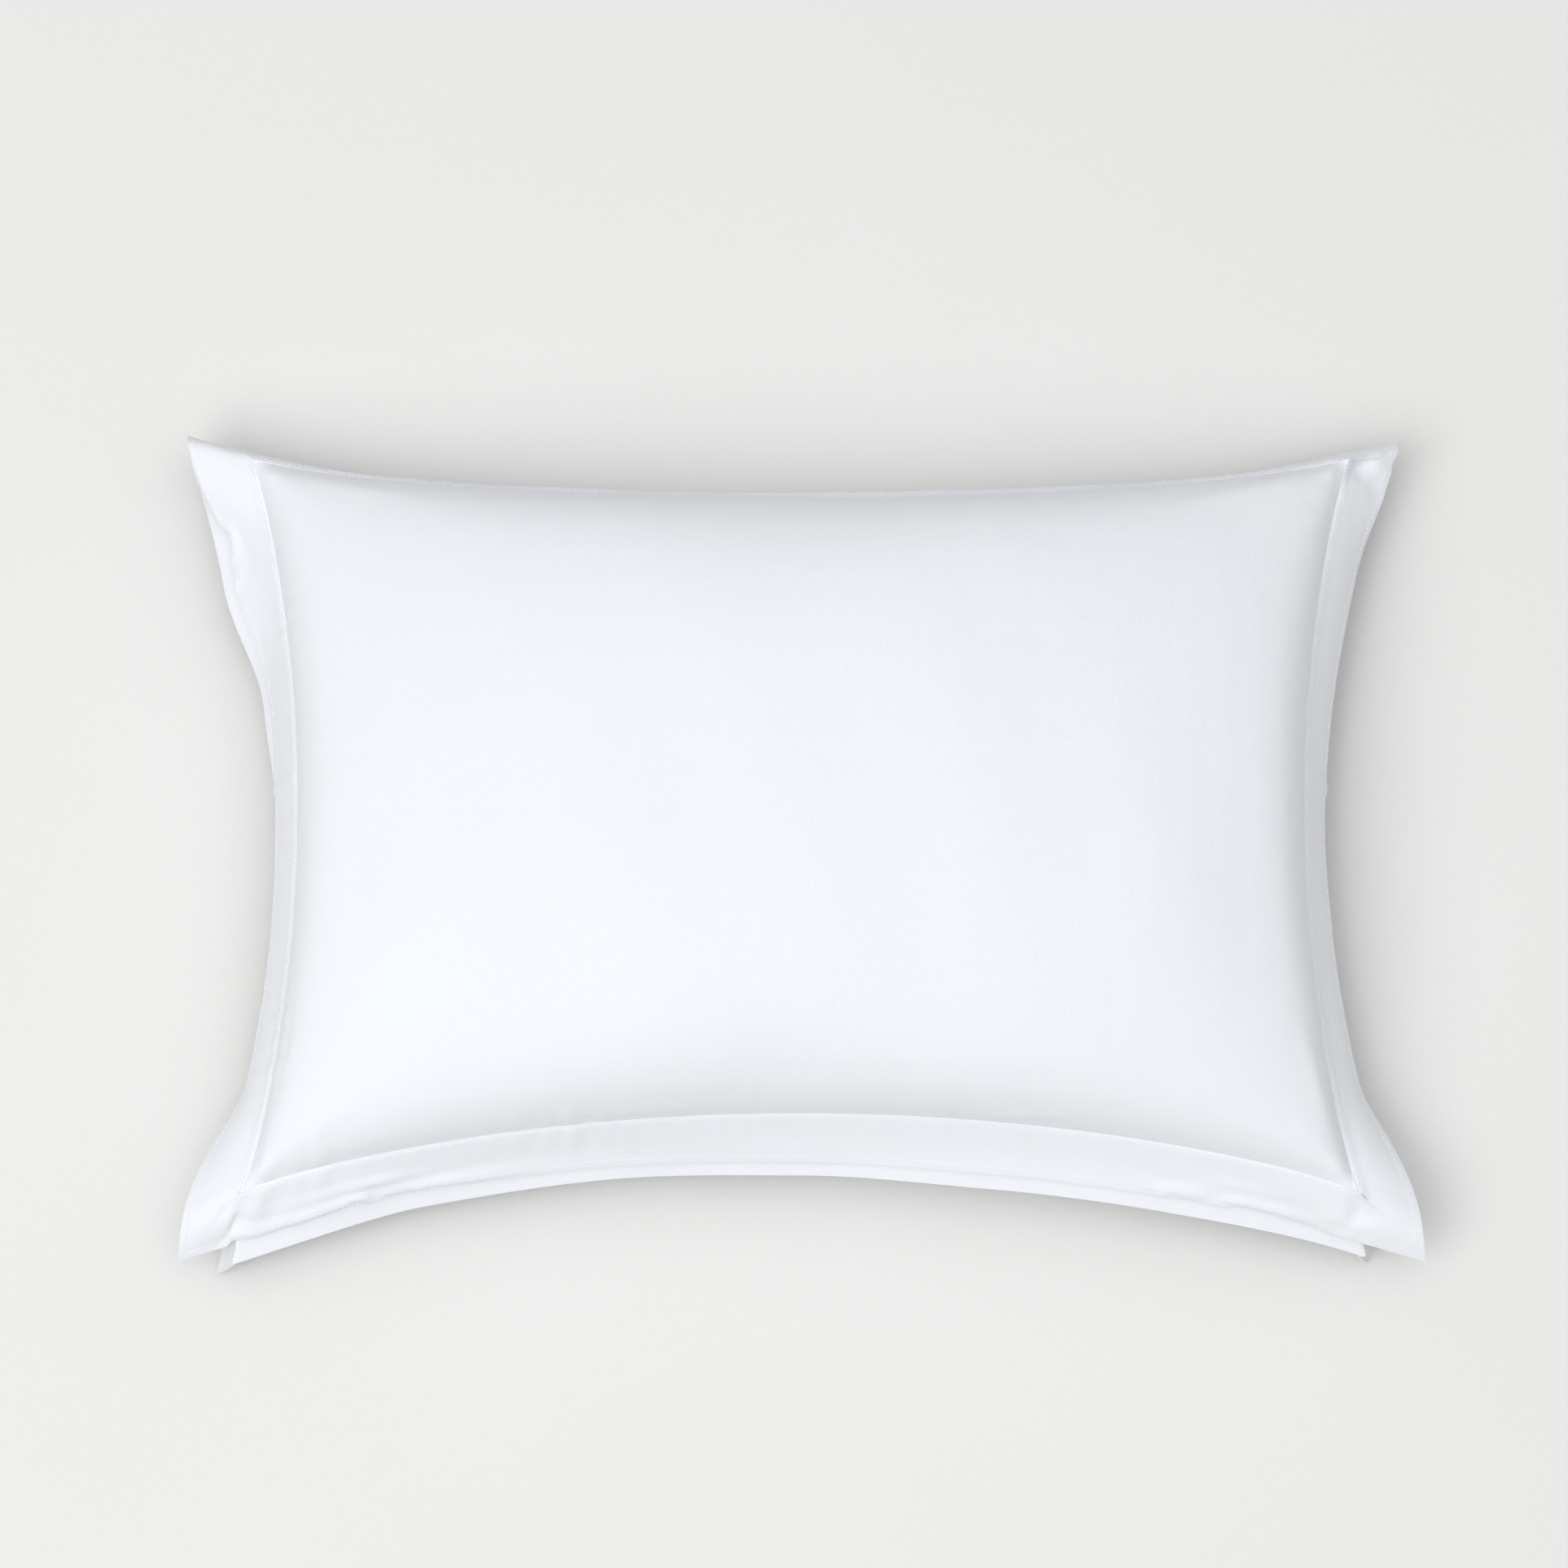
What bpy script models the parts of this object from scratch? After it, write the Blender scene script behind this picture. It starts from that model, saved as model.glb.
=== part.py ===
"""Bed pillow: a plump filled insert inside a cotton cover with a double flange.

The cover has a front panel and two back panels that overlap as an envelope. Two flange plies leave the seam between
front and back: the front ply stands out from it and the back ply hangs below. Each ply is four strips with mitred ends.
Inside is the insert: a ticking of two panels, the piping around its edge, and the fill.

The pillow lies on its back at z = 0. +X runs along its length, +Y across its width, +Z up through its crown. The origin
is on the surface it rests on, under the middle of its box.
"""
import math

import bmesh
import bpy
from mathutils import Vector

# ---- driving dimensions, in metres and degrees ----

# The seam between front and back, between its corners, and how far the middle of each side is drawn in
SEAM_LENGTH = 0.730
SEAM_WIDTH = 0.490
DRAWN_IN_SHORT_SIDE = 0.033
DRAWN_IN_LONG_SIDE = 0.042

# Height of the seam over the resting surface, and of the crown over the seam
SEAM_HEIGHT_AT_SIDES = 0.088
SEAM_HEIGHT_AT_CORNERS = 0.078
CROWN_HEIGHT = 0.092
BELLY_DEPTH = 0.125          # how deep the underside would sag if nothing held it up

# Flange: width of each ply, and the angle at which it falls away at mid side and at the corners
FRONT_WIDTH = 0.044
BACK_WIDTH = 0.056
FRONT_FALL = {"left": (67, 30), "right": (67, 32), "bottom": (50, 44), "top": (78, 68)}
BACK_FALL = {"left": (77, 60), "right": (79, 68), "bottom": (60, 52), "top": (90, 88)}
FLANGE_CURL = 0.35           # share by which the fall is gentler at the seam and steeper at the edge

# Cloth and clearances
PANEL_CLOTH = 0.0008
FLANGE_CLOTH = 0.0010
TICKING_CLOTH = 0.0010
GAP = 0.0004
MITRE_GAP = GAP + 3 * FLANGE_CLOTH   # a folded corner needs room for the thickness of both strips
FLANGE_ROOT = FLANGE_CLOTH + 2 * GAP  # the plies start this far outside the seam, clear of the panels
PIPING_RADIUS = 0.0015
PIPING_ROOM = 1.6 * PIPING_RADIUS    # the cover closes in above and below the piping

# Envelope back: where the outer panel's edge and the inner panel's edge lie across the width
OUTER_EDGE = 0.024
INNER_EDGE = -0.100
LAP_EASE = 0.030             # length over which the inner panel comes down beside the outer one

LABEL_CLOTH = 0.0004
CARE_LABEL = (0.030, 0.055)
INSERT_LABEL = (0.060, 0.040)

# Fineness of the meshes
COLUMNS = 20
ROWS = 14
FLANGE_STEPS = 3
STRIP_STEPS = {"left": 12, "right": 12, "bottom": 18, "top": 18}
PIPING_SIDES = 6
CROWN_POWER, CROWN_FULLNESS = 2.4, 0.62
BELLY_POWER, BELLY_FULLNESS = 2.6, 0.62

# How far each layer lies inside the cover's outer surface
INNER_PANEL_INSET = PANEL_CLOTH + GAP
PIPING_INSET = INNER_PANEL_INSET + PANEL_CLOTH + PIPING_ROOM + PIPING_RADIUS
TICKING_INSET = PIPING_INSET + PIPING_RADIUS + 3 * GAP
FILL_INSET = TICKING_INSET + TICKING_CLOTH + GAP
LABEL_HEIGHT = INNER_PANEL_INSET + PANEL_CLOTH + GAP

SIDES = {"left": (-1, 0), "right": (1, 0), "bottom": (0, -1), "top": (0, 1)}
COTTON = (0.90, 0.92, 0.97)
TICKING = (0.93, 0.93, 0.92)
FILLING = (0.96, 0.95, 0.93)
LABEL = (0.95, 0.95, 0.94)


# ---- the pillow's shape, as functions of u and v, which run from -1 to 1 between the seams ----

def seam_height(u, v):
    return SEAM_HEIGHT_AT_CORNERS + (SEAM_HEIGHT_AT_SIDES - SEAM_HEIGHT_AT_CORNERS) * (1 - abs(u * v) ** 2)


def plan(u, v, inset):
    """The place in plan of a point of the layer that lies this far inside the cover."""
    x = u * (SEAM_LENGTH / 2 - inset - DRAWN_IN_SHORT_SIDE * (1 - v * v) * u * u)
    y = v * (SEAM_WIDTH / 2 - inset - DRAWN_IN_LONG_SIDE * (1 - u * u) * v * v)
    return x, y


def swell(u, v, power, fullness):
    """0 on the seam and 1 in the middle, steep at the edge as a filled case is."""
    return max(0.0, (1 - abs(u) ** power) * (1 - abs(v) ** power)) ** fullness


def upper(u, v, inset, lift=0.0):
    """A point of the upper half of the layer that lies this far inside."""
    x, y = plan(u, v, inset)
    rise = (CROWN_HEIGHT - inset) * swell(u, v, CROWN_POWER, CROWN_FULLNESS)
    return Vector((x, y, seam_height(u, v) + lift + rise))


def lower(u, v, inset, lift=0.0):
    """A point of the lower half, flat where it rests on the surface or on the layer below."""
    x, y = plan(u, v, inset)
    drop = (BELLY_DEPTH - inset) * swell(u, v, BELLY_POWER, BELLY_FULLNESS)
    return Vector((x, y, max(inset, seam_height(u, v) - lift - drop)))


def spread(count):
    """Values from -1 to 1 that crowd towards both ends, where the surface turns fastest."""
    return [math.sin(math.pi / 2 * (2 * i / count - 1)) for i in range(count + 1)]


def rows_with(edges):
    """The rows of every layer, with one at each edge of the envelope, so that all layers share their facets."""
    closest = 0.4 / ROWS
    kept = [v for v in spread(ROWS) if all(abs(v - edge) > closest for edge in edges)]
    return sorted(kept + list(edges))


OUTER_EDGE_V = OUTER_EDGE / (SEAM_WIDTH / 2)
INNER_EDGE_V = INNER_EDGE / (SEAM_WIDTH / 2)
GRID_U = spread(COLUMNS)
GRID_V = rows_with((INNER_EDGE_V, OUTER_EDGE_V))


# ---- meshes ----

def material(name, colour, roughness):
    made = bpy.data.materials.get(name) or bpy.data.materials.new(name)
    made.use_nodes = True
    shader = made.node_tree.nodes["Principled BSDF"]
    shader.inputs["Base Color"].default_value = (*colour, 1.0)
    shader.inputs["Roughness"].default_value = roughness
    shader.inputs["Metallic"].default_value = 0.0
    return made


def add_object(name, shape, finish):
    """Makes a closed bmesh an object with its faces pointing out."""
    bmesh.ops.recalc_face_normals(shape, faces=shape.faces[:])
    if shape.calc_volume(signed=True) < 0:
        bmesh.ops.reverse_faces(shape, faces=shape.faces[:])
    mesh = bpy.data.meshes.new(name)
    shape.to_mesh(mesh)
    shape.free()
    mesh.materials.append(finish)
    mesh.shade_smooth()
    mesh.set_sharp_from_angle(angle=math.radians(50))
    made = bpy.data.objects.new(name, mesh)
    bpy.context.scene.collection.objects.link(made)
    return made


def skin(shape, grid, across, along):
    """Triangles over a grid of vertices. The diagonals mirror about the middle, so layers in a stack match."""
    for j in range(len(along) - 1):
        for i in range(len(across) - 1):
            a, b = grid[j][i], grid[j][i + 1]
            c, d = grid[j + 1][i + 1], grid[j + 1][i]
            outward = (across[i] + across[i + 1] < 0) == (along[j] + along[j + 1] < 0)
            corners = ((a, b, c), (a, c, d)) if outward else ((a, b, d), (b, c, d))
            for corner in corners:
                shape.faces.new(corner)


def rim(grid):
    """The vertices around a grid, in order."""
    right = [row[-1] for row in grid[1:-1]]
    left = [row[0] for row in grid[-2:0:-1]]
    return grid[0] + right + grid[-1][::-1] + left


def shell(name, outer, inner, across, along, finish):
    """A closed sheet between two surfaces, each a function of the same two values."""
    shape = bmesh.new()
    faces = [[[shape.verts.new(side(a, b)) for a in across] for b in along] for side in (outer, inner)]
    for grid in faces:
        skin(shape, grid, across, along)
    rims = [rim(grid) for grid in faces]
    count = len(rims[0])
    for k in range(count):
        n = (k + 1) % count
        shape.faces.new((rims[0][k], rims[0][n], rims[1][n]))
        shape.faces.new((rims[0][k], rims[1][n], rims[1][k]))
    return add_object(name, shape, finish)


# ---- the cover ----

def front_panel(cotton):
    return shell(
        "front_panel",
        lambda u, v: upper(u, v, 0.0, GAP / 2),
        lambda u, v: upper(u, v, PANEL_CLOTH, GAP / 2),
        GRID_U, GRID_V, cotton,
    )


def outer_back_panel(cotton):
    """The lower part of the back, whose hemmed edge shows on the outside."""
    return shell(
        "back_panel_outer",
        lambda u, v: lower(u, v, 0.0, GAP / 2),
        lambda u, v: lower(u, v, PANEL_CLOTH, GAP / 2),
        GRID_U, [v for v in GRID_V if v <= OUTER_EDGE_V], cotton,
    )


def inner_back_panel(cotton):
    """The upper part of the back. It lies inside the outer one where they overlap, and level with it beyond."""
    eased = LAP_EASE / (SEAM_WIDTH / 2)

    def inset(v):
        return INNER_PANEL_INSET * min(1.0, max(0.0, (OUTER_EDGE_V + 2 * eased - v) / eased))

    return shell(
        "back_panel_inner",
        lambda u, v: lower(u, v, inset(v), GAP / 2),
        lambda u, v: lower(u, v, inset(v) + PANEL_CLOTH, GAP / 2),
        GRID_U, [v for v in GRID_V if v >= INNER_EDGE_V], cotton,
    )


def fallen(reach, width, fall):
    """How far out and how far down a ply of this width gets at this reach, on an arc that steepens towards its edge."""
    start = math.radians(fall * (1 - FLANGE_CURL))
    turn = math.radians(fall * 2 * FLANGE_CURL) / width
    end = start + turn * reach
    return (math.sin(end) - math.sin(start)) / turn, (math.cos(start) - math.cos(end)) / turn


def fall_at(falls, side, along):
    """The fall of a side: its first value holds at mid side and its second at the corners."""
    middle, corner = falls[side]
    return middle + (corner - middle) * abs(along) ** 3


def flange_point(width, falls, u, v, beyond_x, beyond_y):
    """A point of a flange ply: a point on the seam, and how far beyond it the cloth goes along x and along y."""
    x, y = plan(u, v, -FLANGE_ROOT)
    out_x, down_x = fallen(beyond_x, width, fall_at(falls, "right" if u > 0 else "left", v)) if beyond_x else (0, 0)
    out_y, down_y = fallen(beyond_y, width, fall_at(falls, "top" if v > 0 else "bottom", u)) if beyond_y else (0, 0)
    x += math.copysign(out_x, u)
    y += math.copysign(out_y, v)
    return Vector((x, y, seam_height(u, v) - math.hypot(down_x, down_y)))


def flange_strip(name, side, width, falls, above, cotton):
    """One strip of a ply, wider at its outer edge because both ends are mitred."""
    step_x, step_y = SIDES[side]
    half = (SEAM_WIDTH if step_x else SEAM_LENGTH) / 2

    def centre(along, across):
        reach = along * (half + across - MITRE_GAP)
        on_seam = max(-1.0, min(1.0, reach / half))
        past_end = max(0.0, abs(reach) - half)
        if step_x:
            return flange_point(width, falls, step_x, on_seam, across, past_end)
        return flange_point(width, falls, on_seam, step_y, past_end, across)

    def normal(along, across):
        """The normal of the strip on its upper side, from points close by."""
        near = 1e-4
        back, front = max(-1.0, along - near), min(1.0, along + near)
        lengthwise = centre(front, across) - centre(back, across)
        crosswise = centre(along, across + near) - centre(along, across)
        return lengthwise.cross(crosswise).normalized() * (step_y - step_x)

    def face(offset):
        return lambda along, across: centre(along, across) + normal(along, across) * offset

    low, high = GAP / 2, GAP / 2 + FLANGE_CLOTH
    if not above:
        low, high = -high, -low
    steps = STRIP_STEPS[side]
    alongs = spread(steps)
    acrosses = [GAP + (width - GAP) * k / FLANGE_STEPS for k in range(FLANGE_STEPS + 1)]
    return shell(name, face(high), face(low), alongs, acrosses, cotton)


def flange(cotton):
    for side in SIDES:
        flange_strip(f"front_flange_{side}", side, FRONT_WIDTH, FRONT_FALL, True, cotton)
        flange_strip(f"back_flange_{side}", side, BACK_WIDTH, BACK_FALL, False, cotton)


# ---- the insert ----

def ticking_panels(ticking):
    for name, half in (("ticking_upper", upper), ("ticking_lower", lower)):
        shell(
            name,
            lambda u, v, half=half: half(u, v, TICKING_INSET, GAP / 2),
            lambda u, v, half=half: half(u, v, TICKING_INSET + TICKING_CLOTH, GAP / 2),
            GRID_U, GRID_V, ticking,
        )


def ticking_piping(ticking):
    """A thin cord around the edge of the insert, just outside the joint of its two panels."""
    bottom = [(u, -1) for u in GRID_U]
    right = [(1, v) for v in GRID_V[1:-1]]
    top = [(u, 1) for u in reversed(GRID_U)]
    left = [(-1, v) for v in GRID_V[-2:0:-1]]
    path = [Vector((*plan(u, v, PIPING_INSET), seam_height(u, v))) for u, v in bottom + right + top + left]
    shape = bmesh.new()
    rings = []
    for k, point in enumerate(path):
        forward = (path[(k + 1) % len(path)] - path[k - 1]).normalized()
        outward = forward.cross(Vector((0, 0, 1))).normalized()
        upward = outward.cross(forward)
        turns = [2 * math.pi * n / PIPING_SIDES for n in range(PIPING_SIDES)]
        ring = [point + PIPING_RADIUS * (math.cos(t) * outward + math.sin(t) * upward) for t in turns]
        rings.append([shape.verts.new(place) for place in ring])
    for k, ring in enumerate(rings):
        after = rings[(k + 1) % len(rings)]
        for n in range(PIPING_SIDES):
            m = (n + 1) % PIPING_SIDES
            shape.faces.new((ring[n], ring[m], after[m], after[n]))
    return add_object("ticking_piping", shape, ticking)


def fill(filling):
    """The filling, one closed body that shares its rim between its upper and lower half."""
    shape = bmesh.new()
    top = [[shape.verts.new(upper(u, v, FILL_INSET)) for u in GRID_U] for v in GRID_V]
    base = []
    for j, v in enumerate(GRID_V):
        row = []
        for i, u in enumerate(GRID_U):
            on_rim = i in (0, len(GRID_U) - 1) or j in (0, len(GRID_V) - 1)
            row.append(top[j][i] if on_rim else shape.verts.new(lower(u, v, FILL_INSET)))
        base.append(row)
    skin(shape, top, GRID_U, GRID_V)
    skin(shape, base, GRID_U, GRID_V)
    return add_object("fill", shape, filling)


# ---- labels, flat between the cover's back and the insert ----

def label(name, size, centre, finish):
    shape = bmesh.new()
    bmesh.ops.create_cube(shape, size=1.0)
    bmesh.ops.scale(shape, vec=(*size, LABEL_CLOTH), verts=shape.verts[:])
    bmesh.ops.translate(shape, vec=(*centre, LABEL_HEIGHT + LABEL_CLOTH / 2), verts=shape.verts[:])
    return add_object(name, shape, finish)


def rest_on_origin():
    """Hangs every piece on one empty, and moves that so that the origin is under the middle of the box."""
    pieces = [made for made in bpy.context.scene.objects if made.type == "MESH"]
    corners = [vertex.co for made in pieces for vertex in made.data.vertices]
    middle = [(min(c[k] for c in corners) + max(c[k] for c in corners)) / 2 for k in range(2)]
    pillow = bpy.data.objects.new("pillow", None)
    bpy.context.scene.collection.objects.link(pillow)
    pillow.location = (-middle[0], -middle[1], 0.0)
    for made in pieces:
        made.parent = pillow


def build():
    for old in list(bpy.data.objects):
        bpy.data.objects.remove(old, do_unlink=True)
    cotton = material("cotton sateen", COTTON, 0.62)
    ticking = material("cotton ticking", TICKING, 0.75)
    filling = material("fibre filling", FILLING, 0.95)
    tape = material("label tape", LABEL, 0.60)
    front_panel(cotton)
    outer_back_panel(cotton)
    inner_back_panel(cotton)
    flange(cotton)
    ticking_panels(ticking)
    ticking_piping(ticking)
    fill(filling)
    label("care_label", CARE_LABEL, (-0.15, 0.07), tape)
    label("insert_label", INSERT_LABEL, (0.14, 0.07), tape)
    rest_on_origin()


build()
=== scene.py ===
# %% [markdown]
# # A bed pillow in a double-flanged cotton cover
# The pillow lies on its back. Its insert is a filled case, and over it goes a cover with a front, an envelope back
# and a flange of two plies around all four sides. Cloth can't be modelled well point by point, so the cover is cut
# flat, as a sewer cuts it, and a cloth simulation fills and drapes it. The frame says how big the filled cover is.

# %% The frame
import math

import bpy
import numpy as np
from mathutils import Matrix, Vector


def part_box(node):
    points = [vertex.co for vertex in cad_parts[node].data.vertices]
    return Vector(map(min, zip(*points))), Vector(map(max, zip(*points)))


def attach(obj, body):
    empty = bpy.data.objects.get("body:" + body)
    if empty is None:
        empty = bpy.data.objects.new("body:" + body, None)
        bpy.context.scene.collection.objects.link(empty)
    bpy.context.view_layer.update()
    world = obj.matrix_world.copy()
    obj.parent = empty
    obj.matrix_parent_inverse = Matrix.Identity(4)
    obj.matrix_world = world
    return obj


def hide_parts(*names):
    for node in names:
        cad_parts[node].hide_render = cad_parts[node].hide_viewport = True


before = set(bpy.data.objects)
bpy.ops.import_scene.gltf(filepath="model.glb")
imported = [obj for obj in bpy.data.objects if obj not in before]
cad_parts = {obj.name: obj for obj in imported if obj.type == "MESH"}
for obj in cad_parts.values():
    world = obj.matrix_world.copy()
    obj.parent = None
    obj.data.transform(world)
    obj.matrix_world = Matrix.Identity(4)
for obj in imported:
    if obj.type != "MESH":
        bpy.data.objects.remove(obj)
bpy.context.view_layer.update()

front_low, front_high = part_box("front_panel")
SEAM_LENGTH = front_high.x - front_low.x
SEAM_WIDTH = front_high.y - front_low.y
SEAM_MIDDLE = (front_high.x + front_low.x) / 2, (front_high.y + front_low.y) / 2
CROWN_TOP = front_high.z
print(f"seam {SEAM_LENGTH:.3f} x {SEAM_WIDTH:.3f} m, crown {CROWN_TOP:.3f} m")

# %% [markdown]
# ## The cut
# Before it is filled, the cover is a rectangle of 75 x 50 cm inside its stitch line, with 4 to 6 cm of flange beyond.
# Filling pulls the sides in, so the cloth is longer than the space that it spans, and the surplus shows as small
# puckers. All the pieces of the cover share one lattice over this cut, which keeps their edges together.

# %% The cut and its lattice
CUT_LENGTH, CUT_WIDTH = 0.750, 0.500
CELL = 0.0125                 # one cell of the simulated cover
DRAWN_IN = 0.022, 0.030       # of the middle of a short and of a long side before filling, which draws them in further
SEAM_HEIGHT = 0.084           # of the seam over the floor, at mid side
CORNER_DROP = 0.016           # how much lower the corners of the seam lie
SIDES = {"left": (-1, 0), "right": (1, 0), "bottom": (0, -1), "top": (0, 1)}


def lattice(length, width, cell):
    """The flat coordinates of a rectangle's lattice, as two arrays with one row for each step across the width."""
    across = np.linspace(-length / 2, length / 2, round(length / cell) + 1)
    along = np.linspace(-width / 2, width / 2, round(width / cell) + 1)
    return np.meshgrid(across, along)


# %% [markdown]
# ## From a flat cut to a plump form
# The simulation starts from a form near the finished one: sides drawn in on an even bow, and a crown that rises steeply
# from the seam and is nearly flat on top. Points of the cut are spread over that form by length of cloth, so no part of
# it starts out stretched.

# %% The starting form
def swell(u, v, power=2.5, fullness=0.62):
    """0 on the seam and 1 in the middle."""
    return np.maximum(0, (1 - np.abs(u) ** power) * (1 - np.abs(v) ** power)) ** fullness


def by_length(values, half_span, rise):
    """Moves values between -1 and 1 so that equal steps are equal lengths of the profile across the crown."""
    fine = np.linspace(0, 1, 400)
    heights = rise * swell(fine, 0 * fine)
    steps = np.hypot(np.diff(fine) * half_span, np.diff(heights))
    length = np.concatenate([[0], np.cumsum(steps)])
    return np.sign(values) * np.interp(np.abs(values), length / length[-1], fine)


def plump(u, v, rise):
    """The place of a point of the cover, over or under the seam's plane, in an array of (x, y, z)."""
    far_u = by_length(u, SEAM_LENGTH / 2 - DRAWN_IN[0], rise)
    far_v = by_length(v, SEAM_WIDTH / 2 - DRAWN_IN[1], rise)
    a = far_u + (u - far_u) * v ** 2
    b = far_v + (v - far_v) * u ** 2
    x = a * (SEAM_LENGTH / 2 - DRAWN_IN[0] * (1 - b * b) * a * a)
    y = b * (SEAM_WIDTH / 2 - DRAWN_IN[1] * (1 - a * a) * b * b)
    z = rise * swell(a, b) - CORNER_DROP * (u * v) ** 2
    return np.stack([x, y, z], axis=-1)


# %% Helpers for meshes made with operators
def deselect():
    bpy.ops.object.select_all(action="DESELECT")


def coordinates(obj):
    """The vertices of an object's mesh, as an array."""
    found = np.empty(len(obj.data.vertices) * 3)
    obj.data.vertices.foreach_get("co", found)
    return found.reshape(-1, 3)


def set_coordinates(obj, places):
    obj.data.vertices.foreach_set("co", np.asarray(places, float).reshape(-1))
    obj.data.update()


def add_cloth_grid(name, length, width, cell):
    """A flat rectangle of cloth with square cells, its rows in the same order as lattice gives them."""
    deselect()
    bpy.ops.mesh.primitive_grid_add(
        x_subdivisions=round(length / cell), y_subdivisions=round(width / cell), size=1, location=(0, 0, 0)
    )
    obj = bpy.context.object
    obj.name = obj.data.name = name
    obj.scale = (length, width, 1)
    bpy.ops.object.transform_apply(scale=True)
    return obj


def remember_cut(obj, side):
    """Keeps each vertex's place on the cut, and which side of the cover it is on, through the join and the merge."""
    cut = coordinates(obj)
    cut[:, 2] = side
    attribute = obj.data.attributes.new("cut", "FLOAT_VECTOR", "POINT")
    attribute.data.foreach_set("vector", cut.reshape(-1))


def recall_cut(obj):
    found = np.empty(len(obj.data.vertices) * 3)
    obj.data.attributes["cut"].data.foreach_get("vector", found)
    return found.reshape(-1, 3)


def edit_faces(obj, wanted):
    """Opens a mesh for editing with only the faces selected whose centres pass a test."""
    mesh = obj.data
    centres = np.empty(len(mesh.polygons) * 3)
    mesh.polygons.foreach_get("center", centres)
    mesh.vertices.foreach_set("select", np.zeros(len(mesh.vertices), bool))
    mesh.edges.foreach_set("select", np.zeros(len(mesh.edges), bool))
    mesh.polygons.foreach_set("select", wanted(centres.reshape(-1, 3)))
    deselect()
    obj.select_set(True)
    bpy.context.view_layer.objects.active = obj
    bpy.context.tool_settings.mesh_select_mode = (False, False, True)
    bpy.ops.object.mode_set(mode="EDIT")


def flip(obj):
    """Turns all faces of a mesh over."""
    edit_faces(obj, lambda centres: np.ones(len(centres), bool))
    bpy.ops.mesh.flip_normals()
    bpy.ops.object.mode_set(mode="OBJECT")


def merge(obj):
    """Merges vertices that lie in the same place."""
    edit_faces(obj, lambda centres: np.ones(len(centres), bool))
    bpy.ops.mesh.remove_doubles(threshold=1e-5)
    bpy.ops.object.mode_set(mode="OBJECT")


def joined(objects):
    deselect()
    for obj in objects:
        obj.select_set(True)
    bpy.context.view_layer.objects.active = objects[0]
    bpy.ops.object.join()
    return objects[0]


def cloth_piece(name, points, cut_x, cut_y):
    """A sheet of cloth through an array of points, with its place on the cut as a UV map in metres."""
    rows, columns = points.shape[:2]
    deselect()
    bpy.ops.mesh.primitive_grid_add(x_subdivisions=columns - 1, y_subdivisions=rows - 1, size=1, location=(0, 0, 0))
    obj = bpy.context.object
    obj.name = obj.data.name = name
    set_coordinates(obj, points)
    add_cut_map(obj, np.stack([cut_x, cut_y], axis=-1).reshape(-1, 2))
    return obj


def add_cut_map(obj, cut):
    """Makes the UV map "cloth" from one pair of flat coordinates for each vertex."""
    layer = obj.data.uv_layers[0] if obj.data.uv_layers else obj.data.uv_layers.new()
    layer.name = "cloth"
    corner = np.empty(len(obj.data.loops), int)
    obj.data.loops.foreach_get("vertex_index", corner)
    layer.data.foreach_set("uv", cut[corner].reshape(-1))


# %% [markdown]
# ## Filling the cover
# A front and a back sheet are joined along the seam and blown up from inside. Pressure is a fair stand-in for filling,
# because both push straight out from within. The rest lengths come from the flat cut, kept as a shape key, so the cloth
# can bend but hardly stretch, and the surplus along the sides buckles into puckers by itself.

# %% Cloth settings shared by the simulations
def cloth_on(obj, rest_key, stiffness, bending, frames, quality=6):
    """Adds a Cloth modifier whose rest lengths are those of the flat cut."""
    modifier = obj.modifiers.new("Cloth", "CLOTH")
    settings = modifier.settings
    settings.quality = quality
    settings.mass = 0.15
    settings.tension_stiffness = stiffness
    settings.compression_stiffness = stiffness / 3
    settings.shear_stiffness = stiffness / 5
    settings.bending_stiffness = bending
    settings.tension_damping = settings.compression_damping = settings.shear_damping = 5
    settings.air_damping = 2
    settings.rest_shape_key = rest_key
    modifier.collision_settings.use_collision = False
    modifier.point_cache.frame_start = 1
    modifier.point_cache.frame_end = frames
    return modifier


def add_rest_key(obj, flat):
    """Two shape keys: the form that the cloth starts in, and the flat cut that gives its lengths."""
    obj.shape_key_add(name="Basis")
    key = obj.shape_key_add(name="flat", from_mix=False)
    key.data.foreach_set("co", flat.reshape(-1))
    return key


def simulate(obj, frames):
    """Steps through the frames, then makes the cloth's last shape the mesh itself."""
    for number in range(1, frames + 1):
        bpy.context.scene.frame_set(number)
    evaluated = obj.evaluated_get(bpy.context.evaluated_depsgraph_get())
    places = np.empty(len(evaluated.data.vertices) * 3)
    evaluated.data.vertices.foreach_get("co", places)
    obj.modifiers.clear()
    obj.shape_key_clear()
    set_coordinates(obj, places)
    bpy.context.scene.frame_set(1)


# %% The filled cover
FILL_FRAMES = 10
FILL_PRESSURE = 0.6
CROWN_RISE = CROWN_TOP - SEAM_HEIGHT


def half_cover(side):
    """The front (1) or the back (-1) of the cover, in the form that it starts from."""
    sheet = add_cloth_grid("cover", CUT_LENGTH, CUT_WIDTH, CELL)
    remember_cut(sheet, side)
    cut = recall_cut(sheet)
    u, v = cut[:, 0] / CUT_LENGTH * 2, cut[:, 1] / CUT_WIDTH * 2
    form = plump(u, v, CROWN_RISE)
    drop = -CORNER_DROP * (u * v) ** 2
    form[:, 2] = drop + side * (form[:, 2] - drop)
    set_coordinates(sheet, form)
    if side < 0:
        flip(sheet)
    return sheet


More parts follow.
